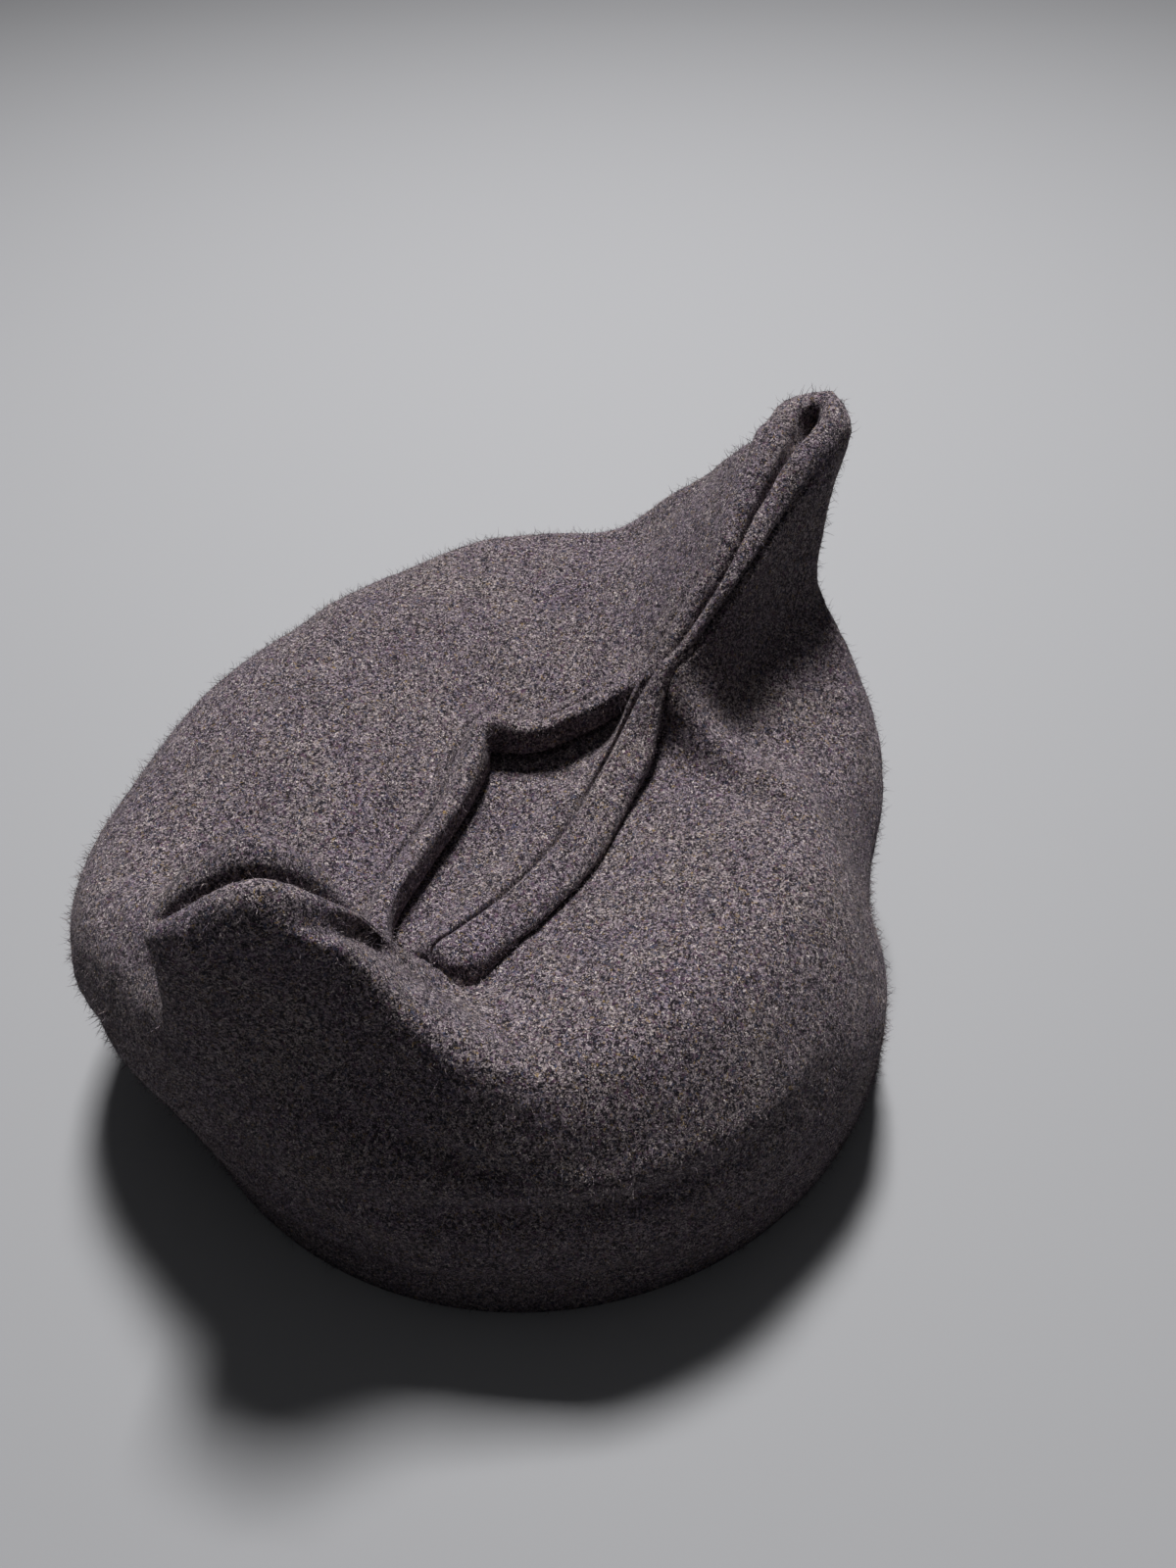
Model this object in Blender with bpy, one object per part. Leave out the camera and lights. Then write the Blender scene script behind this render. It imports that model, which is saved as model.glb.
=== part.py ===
"""Felted wool hat with two peaks: one felt tube, closed on top along a seam that runs from a low
peak in front to a tall peak behind, and parted in the middle round a leaf-shaped insert.

Units are metres. +Z is up, the rim stands on z = 0, and +Y points along the seam to the tall peak.
Left is -X and right is +X, as a person sees them who looks along +Y.
"""
from math import cos, radians, sin

import bpy
import numpy as np

# Driving dimensions
RIM_RADIUS = 0.098          # outside of the rim, which is round where it rests
WALL_HEIGHT = 0.066         # from the rim to the shoulder, where wall turns into crown
CROWN_HEIGHT = 0.070        # top of the crown beside the seam's middle
LOW_PEAK_HEIGHT = 0.118
LOW_PEAK_REACH = 0.092      # from the rim's centre forward to the low peak's tip
TALL_PEAK_HEIGHT = 0.132
TALL_PEAK_REACH = 0.102     # from the rim's centre back to the tall peak's tip
SHOULDER_ROUND = 0.012      # how far the bend between wall and crown reaches to either side
LIP_WIDTH = 0.0072          # the rolled edge on each side of the seam
LIP_HEIGHT = 0.0040
FELT = 0.0030               # thickness of the felt
BAND_WIDTH = 0.0110         # the leaf's turned and stitched right margin
BAND_HEIGHT = 0.0058        # how high its fold stands over the right panel
TUCK = 0.0060               # how far the leaf's left margin lies under the left panel
LEAF_SAG = 0.0025           # how far the leaf sinks below the left panel's edge
CLEARANCE = 0.0004          # between the leaf and the crown's felt
END_LIFT = 0.0012           # the leaf's two ends lie this much higher, where the crown rises

# Directions, seen from above and counted from +X, in which the two peaks' tips lie
FRONT_BEARING = -95.0
BACK_BEARING = 83.0

# Where the seam runs. along: share of the reach of its own peak, front rows negative.
# across: share of RIM_RADIUS. rise: share of the way from CROWN_HEIGHT to its own peak's height.
# The left and right edges part in the rows between NEAR_END and FAR_END. gape is half the groove's
# width as a share of LIP_WIDTH, turn says how far the lips have turned round a peak's tip, and the
# next two columns scale the left and the right lip, and the last is the share of the left
# lip's height that its foot drops.
SEAM = (
    # name          along   left across, rise   right across, rise  gape  turn  left, right lip, left fall
    ("low_tip",    -0.978, -0.088,  0.68,       -0.088,  0.68,      0.08, 1.00, 1.05, 1.05, 1.00),
    ("low_bend",   -0.970, -0.078,  0.71,       -0.078,  0.70,      0.08, 0.55, 1.30, 1.10, 1.00),
    ("low_turn",   -0.948, -0.052,  0.77,       -0.050,  0.75,      0.06, 0.15, 1.60, 1.05, 1.00),
    ("low_lip",    -0.905,  0.000,  0.88,        0.000,  0.84,      0.03, 0.02, 1.75, 1.00, 1.00),
    ("crest",      -0.830,  0.080,  0.98,        0.080,  0.93,      0.02, 0.00, 1.75, 1.00, 1.00),
    ("crest_back", -0.725,  0.138,  0.76,        0.138,  0.73,      0.12, 0.00, 1.50, 0.85, 1.00),
    ("near_end",   -0.600,  0.150,  0.24,        0.150,  0.22,      0.10, 0.00, 1.10, 0.25, 1.00),
    ("near_slot",  -0.545,  0.085,  0.19,        0.192, -0.05,      0.00, 0.00, 1.00, 0.00, 1.00),
    ("left_curve", -0.330, -0.005,  0.13,        0.199, -0.12,      0.00, 0.00, 1.00, 0.00, 1.00),
    ("widest",     -0.150, -0.052,  0.14,        0.199, -0.13,      0.00, 0.00, 1.00, 0.00, 1.00),
    ("above_kink", -0.020, -0.095,  0.19,        0.186, -0.13,      0.00, 0.00, 1.20, 0.00, 1.00),
    ("kink",        0.054, -0.130,  0.18,        0.170, -0.08,      0.00, 0.00, 1.45, 0.00, 1.00),
    ("past_kink",   0.098, -0.066,  0.15,        0.158, -0.07,      0.00, 0.00, 1.15, 0.00, 1.00),
    ("right_curve", 0.196,  0.008,  0.18,        0.133, -0.04,      0.00, 0.00, 1.00, 0.00, 1.00),
    ("far_slot",    0.330,  0.070,  0.23,        0.112,  0.04,      0.00, 0.00, 1.00, 0.00, 1.00),
    ("far_end",     0.382,  0.110,  0.27,        0.110,  0.27,      0.05, 0.00, 1.00, 0.35, 1.00),
    ("fin_foot",    0.475,  0.130,  0.40,        0.130,  0.40,      0.05, 0.00, 1.00, 0.50, 0.85),
    ("fin_low",     0.590,  0.156,  0.60,        0.156,  0.60,      0.05, 0.00, 1.10, 0.60, 0.65),
    ("fin_mid",     0.750,  0.144,  0.79,        0.144,  0.79,      0.08, 0.00, 1.25, 0.85, 0.50),
    ("fin_high",    0.880,  0.134,  0.92,        0.134,  0.92,      0.18, 0.00, 1.30, 1.00, 0.45),
    ("tip_turn",    0.945,  0.127,  0.96,        0.127,  0.96,      0.36, 0.12, 1.15, 0.95, 0.60),
    ("tip_bend",    0.987,  0.122,  0.98,        0.122,  0.98,      0.42, 0.52, 1.00, 0.92, 0.85),
    ("tall_tip",    1.000,  0.122,  0.99,        0.122,  0.99,      0.40, 1.00, 0.92, 0.90, 1.00),
)
NEAR_END = 6
FAR_END = 15

# How each panel sags or swells between its shoulder and its lip, at places along the seam.
# Two places are given by their share of the way in, and by how far the felt dips there below
# a straight line, as a share of WALL_HEIGHT. A negative dip swells.
LEFT_PANEL = (
    # along    in    dip     in    dip
    (-1.000,  0.32,  0.00,  0.72,  0.00),
    (-0.820,  0.32,  0.00,  0.72,  0.05),
    (-0.600,  0.32, -0.06,  0.72,  0.00),
    (-0.330,  0.32, -0.12,  0.72, -0.09),
    (0.050,   0.32, -0.12,  0.72, -0.05),
    (0.330,   0.32, -0.05,  0.72,  0.00),
    (0.475,   0.32,  0.02,  0.72,  0.05),
    (0.590,   0.34,  0.04,  0.74,  0.02),
    (0.750,   0.40,  0.02,  0.80, -0.02),
    (0.890,   0.42, -0.05,  0.80, -0.03),
    (1.000,   0.32,  0.00,  0.72,  0.00),
)
RIGHT_PANEL = (
    (-1.000,  0.32,  0.00,  0.72,  0.00),
    (-0.820,  0.32,  0.00,  0.72, -0.04),
    (-0.725,  0.32, -0.06,  0.72, -0.10),
    (-0.600,  0.32, -0.11,  0.72, -0.09),
    (-0.330,  0.32, -0.16,  0.72, -0.08),
    (0.050,   0.32, -0.20,  0.72, -0.10),
    (0.330,   0.32, -0.15,  0.72, -0.03),
    (0.475,   0.35,  0.04,  0.75,  0.18),
    (0.590,   0.40,  0.16,  0.85,  0.30),
    (0.750,   0.50,  0.24,  0.88,  0.32),
    (0.890,   0.52,  0.20,  0.88,  0.22),
    (1.000,   0.32,  0.00,  0.72,  0.00),
)

# The wall, seen from above at bearings counted from +X: how far out the felt stands, as shares
# of RIM_RADIUS, half-way up and at the shoulder, and the shoulder's height as a share of WALL_HEIGHT.
WALL = (
    # bearing  half-way  shoulder  height
    (-160,     1.05,     1.05,     1.04),
    (-134,     1.11,     1.13,     0.97),
    (-120,     1.12,     1.15,     0.94),
    (-108,     1.07,     1.08,     0.98),
    (-95,      1.02,     1.00,     1.10),
    (-82,      0.99,     0.90,     1.18),
    (-72,      0.98,     0.83,     1.22),
    (-62,      0.98,     0.85,     1.09),
    (-49,      0.99,     0.90,     0.98),
    (-35,      1.00,     0.94,     0.94),
    (-20,      1.01,     0.96,     0.91),
    (-5,       1.01,     0.96,     0.87),
    (15,       0.99,     0.95,     0.84),
    (32,       0.91,     0.87,     0.86),
    (48,       0.96,     0.97,     0.95),
    (59,       1.01,     1.02,     1.03),
    (70,       1.01,     1.02,     1.21),
    (83,       1.01,     1.01,     1.30),
    (95,       1.02,     1.05,     1.70),
    (107,      1.03,     1.05,     1.44),
    (120,      1.04,     1.07,     1.22),
    (130,      1.04,     1.09,     1.21),
    (141,      1.03,     1.09,     1.19),
    (154,      1.03,     1.07,     1.12),
    (165,      1.02,     1.04,     1.10),
    (178,      1.02,     1.02,     1.07),
    (188,      1.03,     1.04,     1.07),
)

# The leaf's turned right edge: along, across and rise as in SEAM.
FOLD = (
    (-0.545,  0.252,  0.070),
    (-0.500,  0.272,  0.030),
    (-0.410,  0.282,  0.000),
    (-0.315,  0.287, -0.018),
    (-0.157,  0.284, -0.026),
    (-0.022,  0.270, -0.022),
    (0.078,   0.248,  0.005),
    (0.176,   0.224,  0.042),
    (0.275,   0.207,  0.105),
    (0.353,   0.202,  0.153),
    (0.392,   0.204,  0.185),
)

# The leaf's ends stay this share of a row clear of the rows where the crown starts to rise.
END_INSET = 0.25

# The rolled edge's shape, in shares.
SWELL_RISE = 0.20           # extra height of a swollen rolled edge, as a share of LIP_HEIGHT
INSIDE_DROP = 0.10          # how far it has dropped where it turns into the groove
NARROWEST = 0.5             # it is never narrower than this share of LIP_WIDTH

PINCH = 0.00001             # rows whose two sides lie closer than this are one row
TINY = 1e-12                # keeps a direction of no length from dividing by nothing

# Fineness: rows in each stretch of the seam, and steps in each stretch of a meridian.
ROWS_PER_STRETCH = 2
OUTER_STEPS = (2, 2, 2, 2, 2, 2, 2, 2, 1)
INNER_STEPS = (2, 1, 2, 2, 2, 1, 1, 1, 1)

FELT_COLOUR = (0.088, 0.063, 0.066, 1.0)
LEAF_COLOUR = (0.092, 0.066, 0.069, 1.0)


def unit(vectors):
    return vectors / np.maximum(np.linalg.norm(vectors, axis=-1, keepdims=True), TINY)


def smooth(points, knots, wanted):
    """Values of the smooth curve through points, one at each knot, at the wanted places."""
    points = np.asarray(points, dtype=float)
    knots = np.asarray(knots, dtype=float)
    wanted = np.asarray(wanted, dtype=float)
    shape = (-1,) + (1,) * (points.ndim - 1)
    step = np.diff(knots)
    chord = np.diff(points, axis=0) / step.reshape(shape)
    before = step[:-1].reshape(shape)
    after = step[1:].reshape(shape)
    slope = np.empty_like(points)
    slope[1:-1] = (chord[:-1] * after + chord[1:] * before) / (before + after)
    slope[0] = chord[0]
    slope[-1] = chord[-1]
    low = np.clip(np.searchsorted(knots, wanted, side="right") - 1, 0, len(knots) - 2)
    length = step[low]
    u = ((wanted - knots[low]) / length).reshape(shape)
    length = length.reshape(shape)
    return (
        (1 + 2 * u) * (1 - u) ** 2 * points[low]
        + u * (1 - u) ** 2 * length * slope[low]
        + u * u * (3 - 2 * u) * points[low + 1]
        + u * u * (u - 1) * length * slope[low + 1]
    )


def place(along, across, rise):
    """A point of the seam from its shares."""
    if along < 0:
        reach, height = LOW_PEAK_REACH, LOW_PEAK_HEIGHT
    else:
        reach, height = TALL_PEAK_REACH, TALL_PEAK_HEIGHT
    return np.array((across * RIM_RADIUS, along * reach, CROWN_HEIGHT + rise * (height - CROWN_HEIGHT)))


LEFT_EDGE = np.array([place(row[1], row[2], row[3]) for row in SEAM])
RIGHT_EDGE = np.array([place(row[1], row[4], row[5]) for row in SEAM])


def seam_knots():
    """Each seam row's share of the seam's length, from 0 at the low tip to 1 at the tall tip."""
    middle = (LEFT_EDGE + RIGHT_EDGE) / 2
    length = np.concatenate(([0.0], np.cumsum(np.linalg.norm(np.diff(middle, axis=0), axis=1))))
    return length / length[-1]


KNOTS = seam_knots()


def wall_at(bearing):
    """Half-way share, shoulder share and shoulder height share of the wall at a bearing."""
    rows = np.array(WALL, dtype=float)
    turn = np.array((360.0, 0.0, 0.0, 0.0))
    closed = np.vstack((rows[-2:] - turn, rows, rows[:2] + turn))
    wrapped = (bearing - rows[0, 0]) % 360.0 + rows[0, 0]
    return smooth(closed[:, 1:], closed[:, 0], [wrapped])[0]


def at_bearing(bearing, radius, height):
    return np.array((cos(radians(bearing)) * radius, sin(radians(bearing)) * radius, height))


def lip_direction(index, tangent, side):
    """Direction in which the lip lies beside the seam; it turns round each tip."""
    sideways = unit(np.array((tangent[1], -tangent[0], 0.0)) * side)
    outward = tangent if index > len(SEAM) / 2 else -tangent
    turn = SEAM[index][7]
    return unit(sideways * (1.0 - turn) + outward * turn)


def panel_at(table, along):
    rows = np.array(table)
    return smooth(rows[:, 1:], rows[:, 0], [along])[0]


def meridian_stations(index, side):
    """The ten places of one row's meridian, from the rim up the wall and in to the groove.

    Returns two lists. The first follows the felt's outside with its rolled lip, and the second
    leaves the lip out, so that the felt's inside can run a felt's thickness below it.
    """
    edges, panels = (RIGHT_EDGE, RIGHT_PANEL) if side > 0 else (LEFT_EDGE, LEFT_PANEL)
    sweep = BACK_BEARING - FRONT_BEARING - (0.0 if side > 0 else 360.0)
    bearing = FRONT_BEARING + sweep * KNOTS[index]
    half_way, shoulder_out, shoulder_up = wall_at(bearing)
    height = shoulder_up * WALL_HEIGHT
    rim = at_bearing(bearing, RIM_RADIUS, 0.0)
    belly = at_bearing(bearing, half_way * RIM_RADIUS, height / 2)
    shoulder = at_bearing(bearing, shoulder_out * RIM_RADIUS, height)

    tangent = unit(np.gradient(edges, KNOTS, axis=0))[index]
    up = unit(np.array((0.0, 0.0, 1.0)) - tangent * tangent[2])
    out = lip_direction(index, tangent, side)
    gape, _, left_lip, right_lip, left_fall = SEAM[index][6:]
    lip, fall = (right_lip, 1.0) if side > 0 else (left_lip, left_fall)
    width = LIP_WIDTH * (max(lip, NARROWEST) if lip > 0.0 else 1.0)
    rise = LIP_HEIGHT * lip
    depth = rise * (1.0 + 2.0 * gape)
    start = edges[index] + out * gape * LIP_WIDTH

    bottom = edges[index] - up * depth
    lip_inside = start + out * 0.10 * width - up * INSIDE_DROP * rise
    swell = max(lip - 1.0, 0.0)
    lip_top = start + out * 0.50 * width + up * swell * SWELL_RISE * LIP_HEIGHT
    lip_foot = start + out * 0.98 * width - up * fall * rise
    inside_under = start + out * 0.10 * width - up * depth
    top_under = lip_top - up * rise
    foot_under = lip_foot

    outer_in, outer_dip, inner_in, inner_dip = panel_at(panels, SEAM[index][1])
    panel_outer = shoulder + (lip_foot - shoulder) * outer_in
    panel_outer[2] -= outer_dip * WALL_HEIGHT
    panel_inner = shoulder + (lip_foot - shoulder) * inner_in
    panel_inner[2] -= inner_dip * WALL_HEIGHT
    bend = min(SHOULDER_ROUND, np.linalg.norm(panel_outer - shoulder) / 2)
    wall_top = shoulder + unit(belly - shoulder) * bend
    brow = shoulder + unit(panel_outer - shoulder) * bend
    shared = [rim, belly, wall_top, brow, panel_outer, panel_inner]
    return (
        shared + [lip_foot, lip_top, lip_inside, bottom],
        shared + [foot_under, top_under, inside_under, bottom],
    )


def closed_rows():
    """All rows' stations in a loop: up the right side from the low tip, then back down the left.

    The result has the shape (outside or without lip, row, station, xyz).
    """
    last = len(SEAM) - 1
    right = np.array([meridian_stations(i, 1) for i in range(last + 1)])
    left = np.array([meridian_stations(i, -1) for i in range(last + 1)])
    for tip in (0, last):
        right[tip] = (right[tip] + left[tip]) / 2
    loop = np.concatenate((right, left[last - 1:0:-1]))
    return loop.transpose(1, 0, 2, 3)


LOOP = closed_rows()
LOOP_KNOTS = np.concatenate((KNOTS, 2.0 - KNOTS[-2:0:-1]))
WRAP = 3


def rows_at(kind, wanted):
    """Stations at places of the loop: 0 to 1 runs up the right side, 1 to 2 down the left."""
    rows = LOOP[kind]
    points = np.concatenate((rows[-WRAP:], rows, rows[:WRAP]))
    knots = np.concatenate((LOOP_KNOTS[-WRAP:] - 2.0, LOOP_KNOTS, LOOP_KNOTS[:WRAP] + 2.0))
    wanted = np.asarray(wanted, dtype=float)
    result = smooth(points, knots, wanted)
    mirrored = smooth(points, knots, 2.0 - wanted)
    along = np.minimum(wanted % 2.0, (2.0 - wanted) % 2.0)
    closed = (along <= KNOTS[NEAR_END]) | (along >= KNOTS[FAR_END])
    result[closed, -1] = (result[closed, -1] + mirrored[closed, -1]) / 2
    return result


def meridians(rows, steps):
    """Each row's stations joined by a smooth curve, with the given steps in each stretch."""
    curves = []
    for stations in rows:
        length = np.sqrt(np.linalg.norm(np.diff(stations, axis=0), axis=1)) + 1e-6
        knots = np.concatenate(([0.0], np.cumsum(length)))
        wanted = []
        for low, high, count in zip(knots[:-1], knots[1:], steps):
            wanted.extend(low + (high - low) * np.arange(count) / count)
        wanted.append(knots[-1])
        curves.append(smooth(stations, knots, wanted))
    return np.array(curves)


def outside_at(wanted, steps=OUTER_STEPS):
    return meridians(rows_at(0, wanted), steps)


def inside_at(wanted, steps=INNER_STEPS):
    """The felt's inner face: the face without its lip, moved in by the felt's thickness."""
    nudge = 1e-3
    wanted = np.asarray(wanted, dtype=float)
    face = meridians(rows_at(1, wanted), steps)
    ahead = meridians(rows_at(1, wanted + nudge), steps)
    behind = meridians(rows_at(1, wanted - nudge), steps)
    along = np.gradient(face, axis=1)
    normal = unit(np.cross(ahead - behind, along))
    normal[:, 0] = unit(normal[:, 0] * (1.0, 1.0, 0.0))
    closed_along = np.minimum(wanted % 2.0, (2.0 - wanted) % 2.0)
    closed = (closed_along <= KNOTS[NEAR_END]) | (closed_along >= KNOTS[FAR_END])
    mirrored = meridians(rows_at(1, 2.0 - wanted), steps)
    across = face[:, -2] - mirrored[:, -2]
    ridge = np.cross(ahead[:, -1] - behind[:, -1], across)
    apart = np.linalg.norm(across, axis=1) > PINCH
    normal[closed & apart, -1] = unit(ridge[closed & apart])
    flipped = normal[:, -1, 2] < 0
    normal[flipped, -1] *= -1
    # At the two tips both sides are one row, so the groove's end takes its neighbour's direction.
    normal[closed & ~apart, -1] = normal[closed & ~apart, -2]
    return face - normal * FELT


def stretch_knots(first, last):
    """Knots from one seam row to another, with ROWS_PER_STRETCH rows in each stretch."""
    knots = []
    for low, high in zip(KNOTS[first:last], KNOTS[first + 1:last + 1]):
        knots.extend(low + (high - low) * np.arange(ROWS_PER_STRETCH) / ROWS_PER_STRETCH)
    knots.append(KNOTS[last])
    return np.array(knots)


def shell_mesh():
    """Vertices and faces of the crown: an outer and an inner skin, joined at rim and slot."""
    half = stretch_knots(0, len(SEAM) - 1)
    loop = np.concatenate((half, 2.0 - half[-2:0:-1]))
    count = len(loop)
    outer = outside_at(loop)
    inner = inside_at(loop)
    near = NEAR_END * ROWS_PER_STRETCH
    far = FAR_END * ROWS_PER_STRETCH

    vertices = []
    columns = []
    for grid in (outer, inner):
        index = np.zeros(grid.shape[:2], dtype=int)
        for row in range(count):
            mate = (count - row) % count
            along = min(row, mate)
            closed = along <= near or along >= far
            for station in range(grid.shape[1]):
                if station == grid.shape[1] - 1 and closed and mate < row:
                    index[row, station] = index[mate, station]
                else:
                    index[row, station] = len(vertices)
                    vertices.append(grid[row, station])
        columns.append(index)

    faces = []
    for skin, index in enumerate(columns):
        for row in range(count):
            following = (row + 1) % count
            for station in range(index.shape[1] - 1):
                ring = [
                    index[row, station],
                    index[following, station],
                    index[following, station + 1],
                    index[row, station + 1],
                ]
                ring = list(dict.fromkeys(ring))
                if len(ring) > 2:
                    faces.append(ring if skin == 0 else ring[::-1])
    outer_index, inner_index = columns
    for row in range(count):
        following = (row + 1) % count
        faces.append([
            outer_index[following, 0],
            outer_index[row, 0],
            inner_index[row, 0],
            inner_index[following, 0],
        ])
        low, high = min(row, (count - row) % count), min(following, (count - following) % count)
        if near <= low <= far and near <= high <= far:
            ring = [
                outer_index[row, -1],
                outer_index[following, -1],
                inner_index[following, -1],
                inner_index[row, -1],
            ]
            ring = list(dict.fromkeys(ring))
            faces.append(ring)
    return np.array(vertices), faces


def along_curve(curve, distance):
    """Point of a polyline at a distance from its start."""
    length = np.concatenate(([0.0], np.cumsum(np.linalg.norm(np.diff(curve, axis=0), axis=1))))
    return np.array([np.interp(distance, length, curve[:, axis]) for axis in range(3)])


def leaf_section(knot, fold, lift):
    """Closed cross-section of the leaf at one place of the seam, from its left margin round."""
    under_left = inside_at([2.0 - knot], OUTER_STEPS)[0][::-1]
    right_panel = outside_at([knot])[0][::-1]
    right = unit((fold - right_panel[0]) * (1.0, 1.0, 0.0))
    up = np.array((0.0, 0.0, 1.0))

    margin = along_curve(under_left, TUCK) - up * CLEARANCE
    left = under_left[0] - up * (CLEARANCE + LEAF_SAG)
    seat = along_curve(right_panel, BAND_WIDTH * 0.85) + up * (CLEARANCE + lift)
    hidden = right_panel[0] + up * (CLEARANCE + lift)
    stitch = fold - right * BAND_WIDTH - up * 0.12 * BAND_HEIGHT
    crest = fold - right * BAND_WIDTH * 0.5
    brow = fold - right * BAND_WIDTH * 0.12 - up * 0.16 * BAND_HEIGHT
    nose = fold - up * 0.5 * BAND_HEIGHT
    heel = seat - right * 0.1 * BAND_WIDTH
    middle = (left * 0.55 + stitch * 0.45) - up * 0.10 * BAND_HEIGHT
    below_left = left - up * FELT
    below_middle = middle - up * FELT
    below_stitch = hidden - right * 0.15 * BAND_WIDTH
    below_stitch[2] = max(hidden[2], stitch[2] - 1.6 * FELT)
    return np.array((
        margin, left, middle, stitch, crest, brow, nose,
        seat, heel, hidden, below_stitch, below_middle, below_left, margin - up * FELT,
    ))


def leaf_mesh():
    """Vertices and faces of the leaf: its cross-sections lofted along the slot, with end caps."""
    fold_rows = np.array([place(*row) for row in FOLD])
    knots = stretch_knots(NEAR_END + 1, FAR_END - 1)
    knots[0] += END_INSET * (knots[1] - knots[0])
    knots[-1] -= END_INSET * (knots[-1] - knots[-2])
    along = smooth(RIGHT_EDGE[:, 1], KNOTS, knots)
    folds = smooth(fold_rows, fold_rows[:, 1], along)
    lifts = np.zeros(len(knots))
    lifts[[0, -1]] = END_LIFT
    rings = np.array([leaf_section(*row) for row in zip(knots, folds, lifts)])
    size = rings.shape[1]
    vertices = rings.reshape(-1, 3)
    faces = []
    for row in range(len(rings) - 1):
        for corner in range(size):
            following = (corner + 1) % size
            faces.append([
                row * size + corner,
                row * size + following,
                (row + 1) * size + following,
                (row + 1) * size + corner,
            ])
    end = (len(rings) - 1) * size
    faces.append(list(range(size))[::-1])
    faces.append([end + corner for corner in range(size)])
    return vertices, faces


def felt_material(name, colour):
    material = bpy.data.materials.new(name)
    material.use_nodes = True
    shader = material.node_tree.nodes["Principled BSDF"]
    shader.inputs["Base Color"].default_value = colour
    shader.inputs["Roughness"].default_value = 0.95
    shader.inputs["Metallic"].default_value = 0.0
    return material


def add_piece(name, vertices, faces, material, collection):
    mesh = bpy.data.meshes.new(name)
    mesh.from_pydata([tuple(point) for point in vertices], [], faces)
    mesh.materials.append(material)
    mesh.shade_smooth()
    piece = bpy.data.objects.new(name, mesh)
    collection.objects.link(piece)
    return piece


def build():
    for old in list(bpy.data.objects):
        bpy.data.objects.remove(old)
    collection = bpy.data.collections.new("two_peaked_hat")
    bpy.context.scene.collection.children.link(collection)
    crown_points, crown_faces = shell_mesh()
    leaf_points, leaf_faces = leaf_mesh()
    # The finished hat stands centred over its own outline.
    centre = (crown_points.min(axis=0) + crown_points.max(axis=0)) / 2 * (1.0, 1.0, 0.0)
    add_piece("crown_shell", crown_points - centre, crown_faces,
              felt_material("crown_felt", FELT_COLOUR), collection)
    add_piece("leaf_insert", leaf_points - centre, leaf_faces,
              felt_material("leaf_felt", LEAF_COLOUR), collection)


build()
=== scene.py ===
# %% [markdown]
# A felt hat with two peaks, dressed for its picture.
#
# The hat is one tube of boiled wool. Its top is closed along a seam that climbs to a low peak in
# front and to a tall peak behind. In the middle the seam parts round a leaf-shaped insert. This
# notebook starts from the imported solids, which fix size and place, and makes the fine surface over
# them: thick rolled edges, soft dents, sewn lines, heathered wool and a fuzzy nap.

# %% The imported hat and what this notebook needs
from math import cos, radians, sin

import bpy
import numpy as np
from mathutils import Matrix, Vector, noise


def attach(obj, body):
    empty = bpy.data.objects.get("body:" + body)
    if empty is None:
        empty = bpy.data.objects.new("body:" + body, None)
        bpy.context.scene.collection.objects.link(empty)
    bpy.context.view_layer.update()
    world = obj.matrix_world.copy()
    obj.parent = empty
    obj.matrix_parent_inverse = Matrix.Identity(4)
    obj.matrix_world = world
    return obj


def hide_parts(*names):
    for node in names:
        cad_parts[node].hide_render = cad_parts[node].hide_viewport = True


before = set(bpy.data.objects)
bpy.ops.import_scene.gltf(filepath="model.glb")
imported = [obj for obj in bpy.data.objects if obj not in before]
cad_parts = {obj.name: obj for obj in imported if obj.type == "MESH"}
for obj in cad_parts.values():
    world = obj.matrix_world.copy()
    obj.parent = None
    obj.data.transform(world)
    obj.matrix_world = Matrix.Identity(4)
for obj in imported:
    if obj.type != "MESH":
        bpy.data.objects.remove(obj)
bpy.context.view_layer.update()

RIM_LEVEL = 1e-4
crown_points = np.array([vertex.co[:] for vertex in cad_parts["crown_shell"].data.vertices])
rim_points = crown_points[crown_points[:, 2] < RIM_LEVEL]
RIM_CENTRE = (rim_points.min(axis=0) + rim_points.max(axis=0)) / 2 * (1.0, 1.0, 0.0)
print("nodes:", sorted(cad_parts), "rim centre in mm:", (RIM_CENTRE * 1000).round(2))

# %% [markdown]
# Sizes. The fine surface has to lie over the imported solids, so it grows from the same driving
# sizes, in metres. Everything is first placed about the centre of the rim and shifted at the end.
# The rolled edge's own shape is told in shares of its width and height.

# %% Driving sizes
RIM_RADIUS = 0.098
WALL_HEIGHT = 0.066
CROWN_HEIGHT = 0.070
LOW_PEAK_HEIGHT = 0.118
LOW_PEAK_REACH = 0.092
TALL_PEAK_HEIGHT = 0.132
TALL_PEAK_REACH = 0.102
SHOULDER_ROUND = 0.012
LIP_WIDTH = 0.0072
LIP_HEIGHT = 0.0040
FELT = 0.0030
BAND_WIDTH = 0.0110
BAND_HEIGHT = 0.0058
TUCK = 0.0060
CLEARANCE = 0.0004
LEAF_SAG = 0.0025
FRONT_BEARING = -95.0
BACK_BEARING = 83.0
UP = np.array((0.0, 0.0, 1.0))
LIP_INSIDE = 0.10
LIP_TOP = 0.50
LIP_FOOT = 0.98
SWELL_RISE = 0.20
INSIDE_DROP = 0.10
NARROWEST = 0.5
PINCH = 0.00001
NUDGE = 0.001
SHORTEST = 1e-6
TINY = 1e-12

# %% [markdown]
# The seam is the hat's backbone. A short table says where it runs, row by row, as shares of the
# sizes above. Its left and right edges part between near_end and far_end, where the leaf shows.
# gape opens the groove between the two rolled edges, turn wraps them round a peak's tip, the next
# two columns scale the left and the right roll, and the last says how much of the left roll's
# height its foot drops.

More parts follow.
